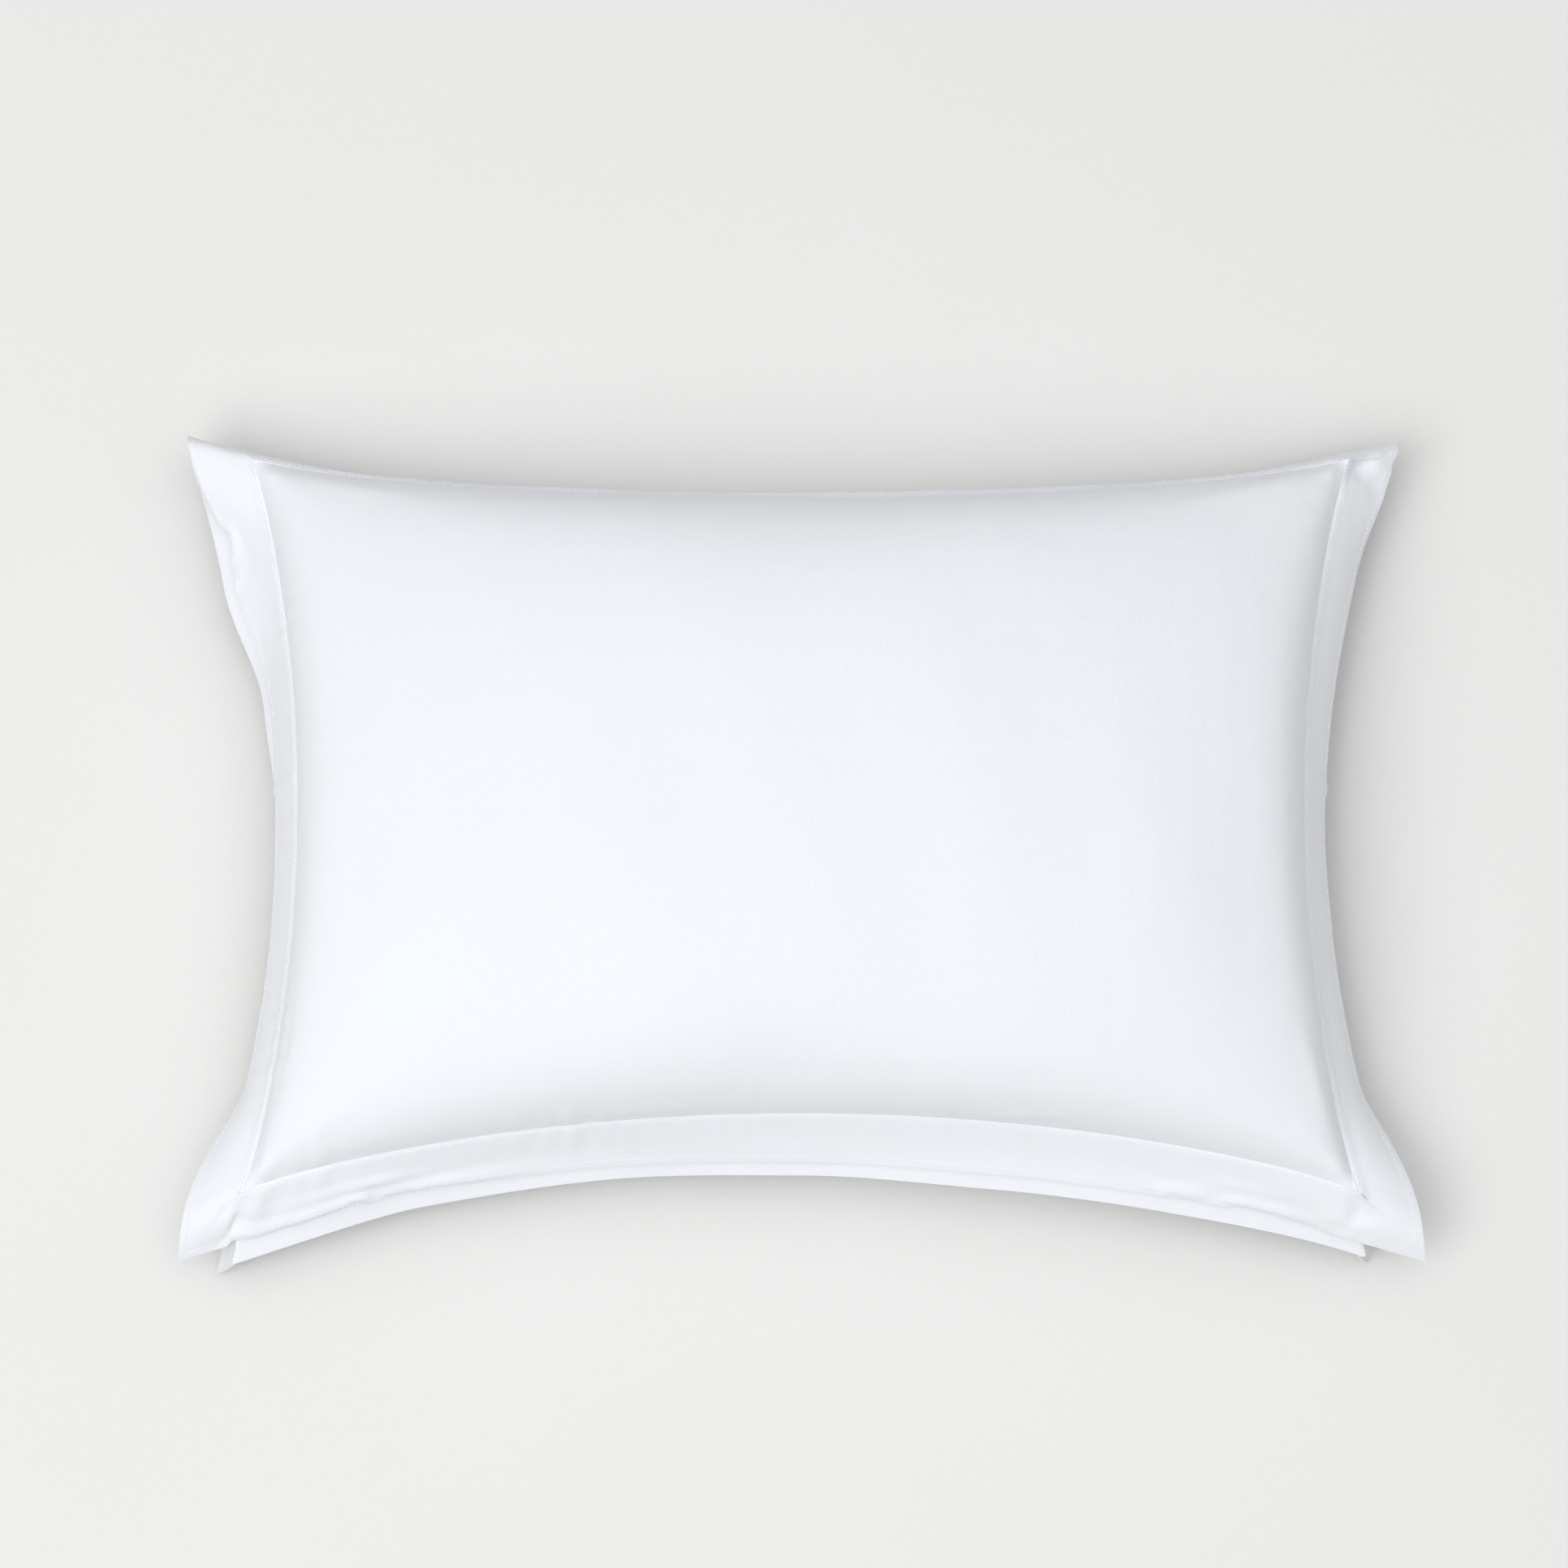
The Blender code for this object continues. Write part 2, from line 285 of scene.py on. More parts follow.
def filled_cover():
    """The front and the back of the cover after filling, as two arrays over the lattice, the seam's plane at z = 0."""
    halves = [half_cover(1), half_cover(-1)]
    cover = joined(halves)
    merge(cover)
    cut = recall_cut(cover)
    flat = cut.copy()
    inside = (np.abs(cut[:, 0]) < CUT_LENGTH / 2 - 1e-4) & (np.abs(cut[:, 1]) < CUT_WIDTH / 2 - 1e-4)
    flat[:, 2] = np.where(inside, cut[:, 2] * 1e-3, 0)
    modifier = cloth_on(cover, add_rest_key(cover, flat), 15, 0.5, FILL_FRAMES)
    modifier.settings.use_pressure = True
    modifier.settings.uniform_pressure_force = FILL_PRESSURE
    modifier.settings.effector_weights.gravity = 0
    simulate(cover, FILL_FRAMES)
    places = coordinates(cover)
    flat_x, flat_y = lattice(CUT_LENGTH, CUT_WIDTH, CELL)
    column = np.round((cut[:, 0] + CUT_LENGTH / 2) / CELL).astype(int)
    row = np.round((cut[:, 1] + CUT_WIDTH / 2) / CELL).astype(int)
    on_rim = (column % (flat_x.shape[1] - 1) == 0) | (row % (flat_x.shape[0] - 1) == 0)
    sheets = []
    for side in (1, -1):
        sheet = np.zeros((*flat_x.shape, 3))
        of_side = on_rim | (cut[:, 2] * side > 0)
        sheet[row[of_side], column[of_side]] = places[of_side]
        sheets.append(sheet)
    bpy.data.objects.remove(cover, do_unlink=True)
    return sheets


front_sheet, back_sheet = filled_cover()
print("filled, before fitting:", front_sheet.min((0, 1)).round(3), front_sheet.max((0, 1)).round(3))

# %% [markdown]
# ## Fitting the cover to the frame
# The simulated cover is within millimetres of the frame's seam and crown. Scaling takes those up, and the cover then
# rests on the floor: what would hang below it is pressed flat, with a soft turn at the edge of the patch. The lattice
# is then refined on smooth curves, because the puckers along the seam need points every three millimetres.

# %% Fitting and refining
FLOOR_TURN = 0.0035           # softness of the edge of the patch that the pillow rests on


SAG = 0.010                   # how far a laid pillow bends to the back between its ends


def fit_to_frame(sheets):
    reach = np.abs(sheets[0]).max((0, 1))
    scale = np.array([SEAM_LENGTH / 2 / reach[0], SEAM_WIDTH / 2 / reach[1], CROWN_RISE / sheets[0][:, :, 2].max()])
    fitted = [sheet * scale + (*SEAM_MIDDLE, SEAM_HEIGHT) for sheet in sheets]
    for sheet in fitted:
        sheet[:, :, 1] += SAG * (0.25 - ((sheet[:, :, 0] - SEAM_MIDDLE[0]) / SEAM_LENGTH * 2) ** 2)
    return fitted


def refine(sheet):
    """Doubles a lattice of points, on smooth curves through them."""
    for axis in (0, 1):
        points = np.moveaxis(sheet, axis, 0)
        padded = np.concatenate([2 * points[:1] - points[1:2], points, 2 * points[-1:] - points[-2:-1]])
        finer = np.empty((2 * len(points) - 1, *points.shape[1:]))
        finer[::2] = points
        finer[1::2] = (9 * (padded[1:-2] + padded[2:-1]) - padded[:-3] - padded[3:]) / 16
        sheet = np.moveaxis(finer, 0, axis)
    return sheet


def rest_on_floor(sheet):
    """Presses what would hang below the floor flat onto it."""
    turned = FLOOR_TURN * np.logaddexp(0, (sheet[:, :, 2] - FLOOR_TURN) / FLOOR_TURN)
    pressed = sheet.copy()
    pressed[:, :, 2] = np.where(sheet[:, :, 2] > 10 * FLOOR_TURN, sheet[:, :, 2] - FLOOR_TURN, turned)
    share = np.clip(sheet[:, :, 2] / (SEAM_HEIGHT - 2 * CORNER_DROP), 0, 1)
    pressed[:, :, 2] += FLOOR_TURN * share
    return pressed


front_sheet, back_sheet = (refine(sheet) for sheet in fit_to_frame([front_sheet, back_sheet]))
back_sheet = rest_on_floor(back_sheet)
PLY_CELL = CELL / 2
print("crown", front_sheet[:, :, 2].max().round(4), "underside", back_sheet[:, :, 2].min().round(4))
print("seam, mid side:", front_sheet[40, 0].round(3), front_sheet[0, 60].round(3), "corner", front_sheet[0, 0].round(3))

# %% [markdown]
# ## The flange
# The flange is two plies, free of each other and each cut with mitred corners. The back ply is the wider one, so its
# edge shows beyond the front ply's. Each ply is a flat frame of cloth, its mitres marked by bisecting, and its inner
# edge is held on the seam. It starts in a form that a table of falls gives: how steeply it hangs at seven places
# along each side. A light hold keeps it near that form while it settles under its own weight. The back ply is draped
# first, and the front ply lands on it.

# %% How each ply falls away from the seam
FRONT_PLY, BACK_PLY = 7 * PLY_CELL, 9 * PLY_CELL
# Degrees below level at even steps along a side, left to right or bottom to top, corners included
FRONT_FALL = {
    "left": (24, 64, 66, 66, 68, 64, 11),
    "right": (20, 60, 64, 67, 65, 57, 37),
    "bottom": (44, 68, 58, 42, 48, 60, 43),
    "top": (80, 98, 102, 102, 102, 96, 78),
}
BACK_FALL = {
    "left": (78, 80, 76, 73, 66, 45, 40),
    "right": (88, 78, 76, 76, 74, 66, 60),
    "bottom": (38, 52, 54, 50, 44, 44, 46),
    "top": (110, 106, 106, 106, 106, 106, 110),
}
FRONT_CURL, BACK_CURL = 0.35, -0.25   # above 0, a ply steepens towards its edge; below 0, it flares out
SKEW = 0.20, 0.26             # slope of the short and long seams at their corners, which the plies' corners go on along


def fallen(reach, width, fall, curl):
    """How far out and how far down cloth gets at this reach from the seam, on an arc whose mean slope is the fall."""
    start = np.radians(fall) * (1 - curl)
    turn = np.radians(fall) * 2 * curl / width
    end = start + turn * reach
    return (np.sin(end) - np.sin(start)) / turn, (np.cos(start) - np.cos(end)) / turn


def fall_at(falls, side, along):
    """The fall at places along a side, on an even curve through the table's values."""
    values = np.array(falls[side], float)
    steps = (np.clip(along, -1, 1) + 1) / 2 * (len(values) - 1)
    index = np.clip(steps.astype(int), 0, len(values) - 2)
    blend = steps - index
    blend = blend * blend * (3 - 2 * blend)
    return values[index] * (1 - blend) + values[index + 1] * blend


def ply_form(cut, width, falls, curl):
    """Where the points of a ply start: on the seam, or beyond it and part way down."""
    column = np.clip(np.round((cut[:, 0] + CUT_LENGTH / 2) / PLY_CELL), 0, CUT_LENGTH / PLY_CELL).astype(int)
    row = np.clip(np.round((cut[:, 1] + CUT_WIDTH / 2) / PLY_CELL), 0, CUT_WIDTH / PLY_CELL).astype(int)
    form = front_sheet[row, column].copy()
    u, v = cut[:, 0] / CUT_LENGTH * 2, cut[:, 1] / CUT_WIDTH * 2
    beyond_x = np.maximum(0, np.abs(cut[:, 0]) - CUT_LENGTH / 2)
    beyond_y = np.maximum(0, np.abs(cut[:, 1]) - CUT_WIDTH / 2)
    fall_x = np.where(u < 0, fall_at(falls, "left", v), fall_at(falls, "right", v))
    fall_y = np.where(v < 0, fall_at(falls, "bottom", u), fall_at(falls, "top", u))
    out_x, down_x = fallen(beyond_x, width, fall_x, curl)
    out_y, down_y = fallen(beyond_y, width, fall_y, curl)
    form[:, 0] += np.sign(u) * (out_x + SKEW[0] * out_y * np.clip(np.abs(u), 0, 1) ** 8)
    form[:, 1] += np.sign(v) * (out_y + SKEW[1] * out_x * np.clip(np.abs(v), 0, 1) ** 6)
    form[:, 2] -= np.hypot(down_x, down_y)
    return form


# %% Cutting and draping the plies
DRAPE_FRAMES = 24
HOLD = 0.17, 0.30             # how firmly the front and back plies keep their form, against 1 for a pinned point


def cut_ply(name, width):
    """A flat frame of cloth with its four mitres marked."""
    ply = add_cloth_grid(name, CUT_LENGTH + 2 * width, CUT_WIDTH + 2 * width, PLY_CELL)
    inside = (CUT_LENGTH / 2, CUT_WIDTH / 2)
    edit_faces(ply, lambda c: (np.abs(c[:, 0]) < inside[0]) & (np.abs(c[:, 1]) < inside[1]))
    bpy.ops.mesh.delete(type="FACE")
    bpy.ops.object.mode_set(mode="OBJECT")
    for x in (-1, 1):
        for y in (-1, 1):
            edit_faces(ply, lambda c: (x * c[:, 0] > inside[0]) & (y * c[:, 1] > inside[1]))
            corner = (x * inside[0], y * inside[1], 0)
            bpy.ops.mesh.bisect(plane_co=corner, plane_no=(x, -y, 0), threshold=1e-5)
            bpy.ops.object.mode_set(mode="OBJECT")
    remember_cut(ply, 0)
    return ply


def collider(obj, thickness=0.001):
    deselect()
    obj.select_set(True)
    bpy.context.view_layer.objects.active = obj
    bpy.ops.object.modifier_add(type="COLLISION")
    obj.collision.thickness_outer = thickness
    obj.collision.thickness_inner = 0.010
    obj.collision.cloth_friction = 8


def draped_ply(name, width, falls, curl, hold):
    """A ply of this width after its fall. Its corners are held more firmly, as their stitched mitres are stiff."""
    ply = cut_ply(name, width)
    cut = recall_cut(ply)
    set_coordinates(ply, ply_form(cut, width, falls, curl))
    beyond = np.maximum(np.abs(cut[:, 0]) - CUT_LENGTH / 2, np.abs(cut[:, 1]) - CUT_WIDTH / 2)
    corner = np.clip(np.abs(cut[:, 0] * cut[:, 1]) / (CUT_LENGTH * CUT_WIDTH / 4), 0, 1) ** 6
    weights = np.where(beyond < 1e-4, 1.0, hold * (1 + 2 * corner))
    group = ply.vertex_groups.new(name="hold")
    for index, weight in enumerate(weights):
        group.add([index], weight, "REPLACE")
    modifier = cloth_on(ply, add_rest_key(ply, cut), 15, 0.8, DRAPE_FRAMES)
    modifier.settings.vertex_group_mass = "hold"
    modifier.collision_settings.use_collision = True
    modifier.collision_settings.distance_min = 0.001
    modifier.collision_settings.collision_quality = 3
    simulate(ply, DRAPE_FRAMES)
    return ply


def body_to_land_on():
    """The filled cover as one closed mesh, for the plies to lie against."""
    halves = []
    for sheet, side in ((front_sheet, 1), (back_sheet, -1)):
        half = cloth_piece("body", sheet, *lattice(CUT_LENGTH, CUT_WIDTH, PLY_CELL))
        if side < 0:
            flip(half)
        halves.append(half)
    body = joined(halves)
    merge(body)
    return body


body = body_to_land_on()
collider(body)
back_ply = draped_ply("back_ply", BACK_PLY, BACK_FALL, BACK_CURL, HOLD[1])
collider(back_ply)
front_ply = draped_ply("front_ply", FRONT_PLY, FRONT_FALL, FRONT_CURL, HOLD[0])
back_ply.modifiers.clear()
bpy.data.objects.remove(body, do_unlink=True)
for ply in (front_ply, back_ply):
    places = coordinates(ply)
    print(ply.name, len(places), "points,", places.min(0).round(3), places.max(0).round(3))

# %% [markdown]
# ## What the needle does to the cloth
# A seam draws the cloth beside it into small waves, and a filled cover has a few soft creases that run out of its
# corners. Both are too small for the simulation's lattice, so they are added to the refined sheets, along the normals.
# The waves have uneven lengths, seeded, so they never read as a pattern.

# %% Puckers, creases and a slightly uneven filling
rng = np.random.default_rng(11)
PUCKER_HEIGHT, PUCKER_REACH = 0.0005, 0.008
PUCKERS = {side: (rng.uniform(0.012, 0.045, 9), rng.uniform(0, 2 * np.pi, 9)) for side in SIDES}
LUMPS = [(rng.uniform(0.10, 0.24), *rng.uniform(0, 2 * np.pi, 2)) for _ in range(9)]
# Soft creases on the front, from and to these places on the cut, with a half width and a height, in metres
CREASES = [
    ((0.25, 0.200), (0.362, 0.243), 0.0090, 0.0016),
    ((0.31, 0.165), (0.360, 0.225), 0.0070, -0.0009),
    ((-0.35, 0.236), (-0.24, 0.205), 0.0080, 0.0011),
    ((-0.357, 0.222), (-0.325, 0.150), 0.0060, 0.0010),
    ((-0.352, -0.230), (-0.285, -0.190), 0.0080, 0.0014),
    ((-0.362, -0.205), (-0.345, -0.110), 0.0060, -0.0008),
    ((0.352, -0.232), (0.270, -0.205), 0.0070, 0.0012),
    ((0.361, -0.220), (0.335, -0.135), 0.0080, 0.0013),
    ((0.10, -0.238), (0.19, -0.226), 0.0050, 0.0006),
    ((-0.17, -0.237), (-0.06, -0.229), 0.0050, 0.0005),
]


def pucker(side, along, distance):
    """The height of the stitched-in waves at a distance from a side's seam."""
    lengths, phases = PUCKERS[side]
    waves = sum(np.sin(2 * np.pi * along / length + phase) for length, phase in zip(lengths, phases)) / 3
    patches = np.sin(along * 23 + phases[0]) + np.sin(along * 41 + phases[1])
    waves = waves * np.clip(0.35 + 0.45 * patches, 0.05, 1)
    reach = distance / PUCKER_REACH
    return PUCKER_HEIGHT * waves * reach * np.exp(1 - reach)


def puckers(p, q, inward):
    """All four sides' waves at places on the cut, inside the seam (1) or beyond it (-1)."""
    total = 0
    for side, (x, y) in SIDES.items():
        gap = (CUT_LENGTH / 2 - x * p) if x else (CUT_WIDTH / 2 - y * q)
        total = total + pucker(side, q if x else p, np.maximum(0, inward * gap))
    return total


def lumps(p, q):
    """Broad, low swells where the filling has settled unevenly."""
    total = sum(
        np.sin(2 * np.pi * (p * np.cos(turn) + q * np.sin(turn)) / length + phase) for length, turn, phase in LUMPS
    )
    edge = swell(np.clip(p / CUT_LENGTH * 2, -1, 1), np.clip(q / CUT_WIDTH * 2, -1, 1), 4, 1)
    return 0.0004 * total * edge


def creases(p, q):
    total = np.zeros_like(p)
    for start, end, half_width, height in CREASES:
        start, end = np.array(start), np.array(end)
        line = end - start
        length = np.hypot(*line)
        along = ((p - start[0]) * line[0] + (q - start[1]) * line[1]) / length ** 2
        aside = ((p - start[0]) * line[1] - (q - start[1]) * line[0]) / length / half_width
        total += height * np.exp(-aside ** 2) * np.sin(np.pi * np.clip(along, 0, 1)) ** 1.2
    return total


def normals_of(sheet):
    """Unit normals over a lattice of points, upwards on a level sheet."""
    found = np.cross(np.gradient(sheet, axis=1), np.gradient(sheet, axis=0))
    return found / np.linalg.norm(found, axis=-1, keepdims=True)


# %% [markdown]
# ## The panels
# The front is one panel. The back is two, which lap under the pillow like an envelope so that the insert can be put
# in. Each panel is a grid laid over its part of the refined sheet and given the thickness of its cloth by Solidify,
# inwards. The envelope's free edges have 25 mm hems, which are twice as thick. A vertex group tells Solidify where
# they are.

# %% Panels
CLOTH, HEM, ENVELOPE_HEM = 0.0008, 0.0062, 0.025
OUTER_EDGE, INNER_EDGE = 0.025, -0.100     # where the two back panels end, across the cut


def finish_with(obj, kind, **settings):
    """Adds a modifier with these settings and applies it."""
    deselect()
    obj.select_set(True)
    bpy.context.view_layer.objects.active = obj
    bpy.ops.object.modifier_add(type=kind)
    modifier = obj.modifiers[-1]
    for name, value in settings.items():
        setattr(modifier, name, value)
    bpy.ops.object.modifier_apply(modifier=modifier.name)


def smooth(obj, angle=50):
    deselect()
    obj.select_set(True)
    bpy.context.view_layer.objects.active = obj
    bpy.ops.object.shade_smooth_by_angle(angle=math.radians(angle))


def thicken(obj, thickness, offset, in_hem):
    """Gives a sheet its thickness, and twice that where the points are in a hem."""
    group = obj.vertex_groups.new(name="hem")
    inside = np.flatnonzero(in_hem)
    group.add(inside.tolist(), 1.0, "REPLACE")
    finish_with(
        obj, "SOLIDIFY", thickness=2 * thickness, offset=offset, vertex_group="hem", thickness_vertex_group=0.5,
        use_quality_normals=True,
    )
    smooth(obj)


flat_x, flat_y = lattice(CUT_LENGTH, CUT_WIDTH, CELL / 4)
front_fine = refine(front_sheet)
relief = lumps(flat_x, flat_y) + creases(flat_x, flat_y) + puckers(flat_x, flat_y, 1)
front_fine = front_fine + normals_of(front_fine) * relief[:, :, None]
cover_front = cloth_piece("cover_front", front_fine, flat_x, flat_y)
thicken(cover_front, CLOTH, -1, np.zeros(flat_x.size, bool))

back_fine = refine(back_sheet)
back_up = normals_of(back_fine)
lift = np.clip(back_fine[:, :, 2] / 0.02, 0, 1)    # no puckers where the cloth is pressed on the floor
back_fine = back_fine - back_up * (puckers(flat_x, flat_y, 1) * lift)[:, :, None]


def back_panel(name, rows, inset, hem_rows):
    """A part of the back, this far inside the back's outer surface, with a hem along its free edge."""
    points = back_fine[rows] + back_up[rows] * inset[rows][:, :, None]
    piece = cloth_piece(name, points, flat_x[rows], flat_y[rows])
    flip(piece)
    thicken(piece, CLOTH, -1, hem_rows[rows].ravel())
    return piece


lap = np.clip((OUTER_EDGE + 0.035 - flat_y) / 0.030, 0, 1)
lap = lap * lap * (3 - 2 * lap)
outer_rows = flat_y[:, 0] <= OUTER_EDGE + 1e-6
inner_rows = flat_y[:, 0] >= INNER_EDGE - 1e-6
cover_back_outer = back_panel("cover_back_outer", outer_rows, 0 * flat_y, flat_y > OUTER_EDGE - ENVELOPE_HEM)
cover_back_inner = back_panel("cover_back_inner", inner_rows, 0.0022 * lap, flat_y < INNER_EDGE + ENVELOPE_HEM)
for piece in (cover_front, cover_back_outer, cover_back_inner):
    print(piece.name, len(piece.data.polygons), "faces")

# %% [markdown]
# ## The flange strips
# Each draped ply is parted along its mitres into four strips. A strip is refined once by Subdivision Surface, and its
# inner edge is then put back exactly on the panel's. It takes its share of the seam's puckers, and gets its thickness,
# doubled in the narrow hem along its outer edge.

# %% Strips
ROLL = 0.0008                 # the front ply's cloth rolls up a little beside the seam's stitches
ROLL_PLACE, ROLL_REACH = 0.0031, 0.0022
NUB = 0.0014                  # the step in the side strips where the end of the envelope's hem is sewn in


def roll(distance):
    """How high the rolled cloth stands at a distance beyond the seam."""
    return ROLL * np.exp(-((distance - ROLL_PLACE) / ROLL_REACH) ** 2)


def flat_places(obj):
    """Each vertex's place on the cut, read back from the UV map "cloth"."""
    corner = np.empty(len(obj.data.loops), int)
    obj.data.loops.foreach_get("vertex_index", corner)
    uv = np.empty(len(obj.data.loops) * 2)
    obj.data.uv_layers["cloth"].data.foreach_get("uv", uv)
    places = np.zeros((len(obj.data.vertices), 2))
    places[corner] = uv.reshape(-1, 2)
    return places


def face_means(obj, values):
    """The mean of a value over the corners of each face."""
    corner = np.empty(len(obj.data.loops), int)
    obj.data.loops.foreach_get("vertex_index", corner)
    start = np.empty(len(obj.data.polygons), int)
    count = np.empty(len(obj.data.polygons), int)
    obj.data.polygons.foreach_get("loop_start", start)
    obj.data.polygons.foreach_get("loop_total", count)
    return np.add.reduceat(values[corner], start) / count


def strip(ply, width, side):
    """One side of a ply, between its mitres."""
    deselect()
    ply.select_set(True)
    bpy.context.view_layer.objects.active = ply
    bpy.ops.object.duplicate()
    piece = bpy.context.object
    piece.name = piece.data.name = f"{ply.name}_{side}"
    cut = recall_cut(piece)
    p, q = face_means(piece, cut[:, 0]), face_means(piece, cut[:, 1])
    x, y = SIDES[side]
    beyond = {name: (sx * p - CUT_LENGTH / 2) if sx else (sy * q - CUT_WIDTH / 2) for name, (sx, sy) in SIDES.items()}
    mine = beyond[side] >= np.max([beyond[name] for name in SIDES], axis=0) - 1e-7
    edit_faces(piece, lambda centres: ~mine)
    bpy.ops.mesh.delete(type="FACE")
    bpy.ops.object.mode_set(mode="OBJECT")
    add_cut_map(piece, recall_cut(piece)[:, :2])
    finish_with(
        piece, "SUBSURF", levels=1, render_levels=1, uv_smooth="NONE", boundary_smooth="PRESERVE_CORNERS"
    )
    cut = flat_places(piece)
    along, across = (cut[:, 1], x * cut[:, 0] - CUT_LENGTH / 2) if x else (cut[:, 0], y * cut[:, 1] - CUT_WIDTH / 2)
    up = np.empty(len(cut) * 3)
    piece.data.vertex_normals.foreach_get("vector", up)
    relief = pucker(side, along, np.maximum(0, across))
    if ply.name.startswith("front"):
        relief = relief + roll(across)
    if x:
        relief = relief + NUB * np.exp(-((along - OUTER_EDGE) / 0.0035) ** 2) * np.clip(across / 0.006, 0, 1)
    places = coordinates(piece) + up.reshape(-1, 3) * relief[:, None]
    on_seam = across < 1e-4
    column = np.round((cut[on_seam, 0] + CUT_LENGTH / 2) / (CELL / 4)).astype(int)
    row = np.round((cut[on_seam, 1] + CUT_WIDTH / 2) / (CELL / 4)).astype(int)
    places[on_seam] = front_fine[row, column]
    set_coordinates(piece, places)
    thicken(piece, CLOTH, 0, across > width - HEM)
    return piece


def on_ply(places, width, p, q):
    """Points of a draped ply at these places on the cut, between the points of its lattice."""
    x = (np.asarray(p) + CUT_LENGTH / 2 + width) / PLY_CELL
    y = (np.asarray(q) + CUT_WIDTH / 2 + width) / PLY_CELL
    i = np.clip(x.astype(int), 0, places.shape[1] - 2)
    j = np.clip(y.astype(int), 0, places.shape[0] - 2)
    s, t = (x - i)[:, None], (y - j)[:, None]
    low = places[j, i] * (1 - s) + places[j, i + 1] * s
    high = places[j + 1, i] * (1 - s) + places[j + 1, i + 1] * s
    return low * (1 - t) + high * t


def ply_lattice(ply, width):
    cut, places = recall_cut(ply), coordinates(ply)
    columns = round((CUT_LENGTH + 2 * width) / PLY_CELL) + 1
    rows = round((CUT_WIDTH + 2 * width) / PLY_CELL) + 1
    found = np.full((rows, columns, 3), np.nan)
    column = np.round((cut[:, 0] + CUT_LENGTH / 2 + width) / PLY_CELL).astype(int)
    row = np.round((cut[:, 1] + CUT_WIDTH / 2 + width) / PLY_CELL).astype(int)
    found[row, column] = places
    return found


front_ply_points, back_ply_points = ply_lattice(front_ply, FRONT_PLY), ply_lattice(back_ply, BACK_PLY)
strips = {}
for ply, width in ((front_ply, FRONT_PLY), (back_ply, BACK_PLY)):
    for side in SIDES:
        strips[f"{ply.name.split('_')[0]}_flange_{side}"] = strip(ply, width, side)
    bpy.data.objects.remove(ply, do_unlink=True)
print(len(strips), "strips,", sum(len(piece.data.polygons) for piece in strips.values()), "faces")

# %% [markdown]
# ## Stitches
# A stitch is a short raised bead of thread, one needle step long. It is modelled once, as a stretched low sphere, and
# laid along the seam and the hems. On the front ply the seam's own stitches show, two millimetres outside the panel.

# %% Stitches
STITCH, STEP, THREAD = 0.0026, 0.0034, 0.00030


def bead():
    """The vertices and faces of one stitch, lying along x."""
    deselect()
    bpy.ops.mesh.primitive_uv_sphere_add(segments=6, ring_count=5, radius=1, location=(0, 0, 0))
    stitch = bpy.context.object
    bpy.ops.object.mode_set(mode="EDIT")
    bpy.ops.mesh.select_all(action="SELECT")
    bpy.ops.transform.rotate(value=math.pi / 2, orient_axis="Y", center_override=(0, 0, 0))
    bpy.ops.transform.resize(value=(STITCH / 2, THREAD * 1.3, THREAD), center_override=(0, 0, 0))
    bpy.ops.object.mode_set(mode="OBJECT")
    points, faces = coordinates(stitch), [tuple(face.vertices) for face in stitch.data.polygons]
    bpy.data.objects.remove(stitch, do_unlink=True)
    return points, faces


BEAD_POINTS, BEAD_FACES = bead()


def stitches(name, starts, ends, up):
    """A line of stitches from each start to its end, standing on the cloth whose normal is up."""
    forward = ends - starts
    forward = forward / np.linalg.norm(forward, axis=1, keepdims=True)
    aside = np.cross(up, forward)
    aside = aside / np.linalg.norm(aside, axis=1, keepdims=True)
    raised = np.cross(forward, aside)
    axes = np.stack([forward, aside, raised], axis=1)
    points = (starts + ends)[:, None] / 2 + np.einsum("vk,skc->svc", BEAD_POINTS, axes)
    count = len(BEAD_POINTS)
    faces = [tuple(index + n * count for index in face) for n in range(len(points)) for face in BEAD_FACES]
    mesh = bpy.data.meshes.new(name)
    mesh.from_pydata(points.reshape(-1, 3).tolist(), [], faces)
    piece = bpy.data.objects.new(name, mesh)
    bpy.context.scene.collection.objects.link(piece)
    smooth(piece, 80)
    print(name, len(points), "stitches")
    return piece


def ply_stitches(name, places, width, distance, face):
    """Stitches all round a ply at this distance beyond the seam, on its upper (1) or lower (-1) face."""
    starts, ends, ups = [], [], []
    for side, (x, y) in SIDES.items():
        half = (CUT_WIDTH if x else CUT_LENGTH) / 2 + distance
        steps = int(2 * half / STEP)
        begin = -half + STEP * (np.arange(steps) + 0.15)
        off = (CUT_LENGTH if x else CUT_WIDTH) / 2 + distance

        def place(along, out):
            spot = (x * (off + out) + 0 * along, along) if x else (along, y * (off + out) + 0 * along)
            return on_ply(places, width, *spot)

        a, b = place(begin, 0), place(begin + STITCH, 0)
        outward = place(begin, 0.0015) - place(begin, -0.0015)
        up = np.cross(b - a, outward)
        up = up / np.linalg.norm(up, axis=1, keepdims=True)
        up = up * (y - x)
        raise_by = pucker(side, begin + STITCH / 2, distance) + roll(distance) + face * (CLOTH / 2 + THREAD * 0.3)
        starts.append(a + up * raise_by[:, None])
        ends.append(b + up * raise_by[:, None])
        ups.append(up * face)
    return stitches(name, np.concatenate(starts), np.concatenate(ends), np.concatenate(ups))


seam_stitches = ply_stitches("seam_stitches", front_ply_points, FRONT_PLY, 0.0022, 1)
front_hem_stitches = ply_stitches("front_hem_stitches", front_ply_points, FRONT_PLY, FRONT_PLY - HEM + 0.001, 1)
back_hem_stitches = ply_stitches("back_hem_stitches", back_ply_points, BACK_PLY, BACK_PLY - HEM + 0.001, 1)


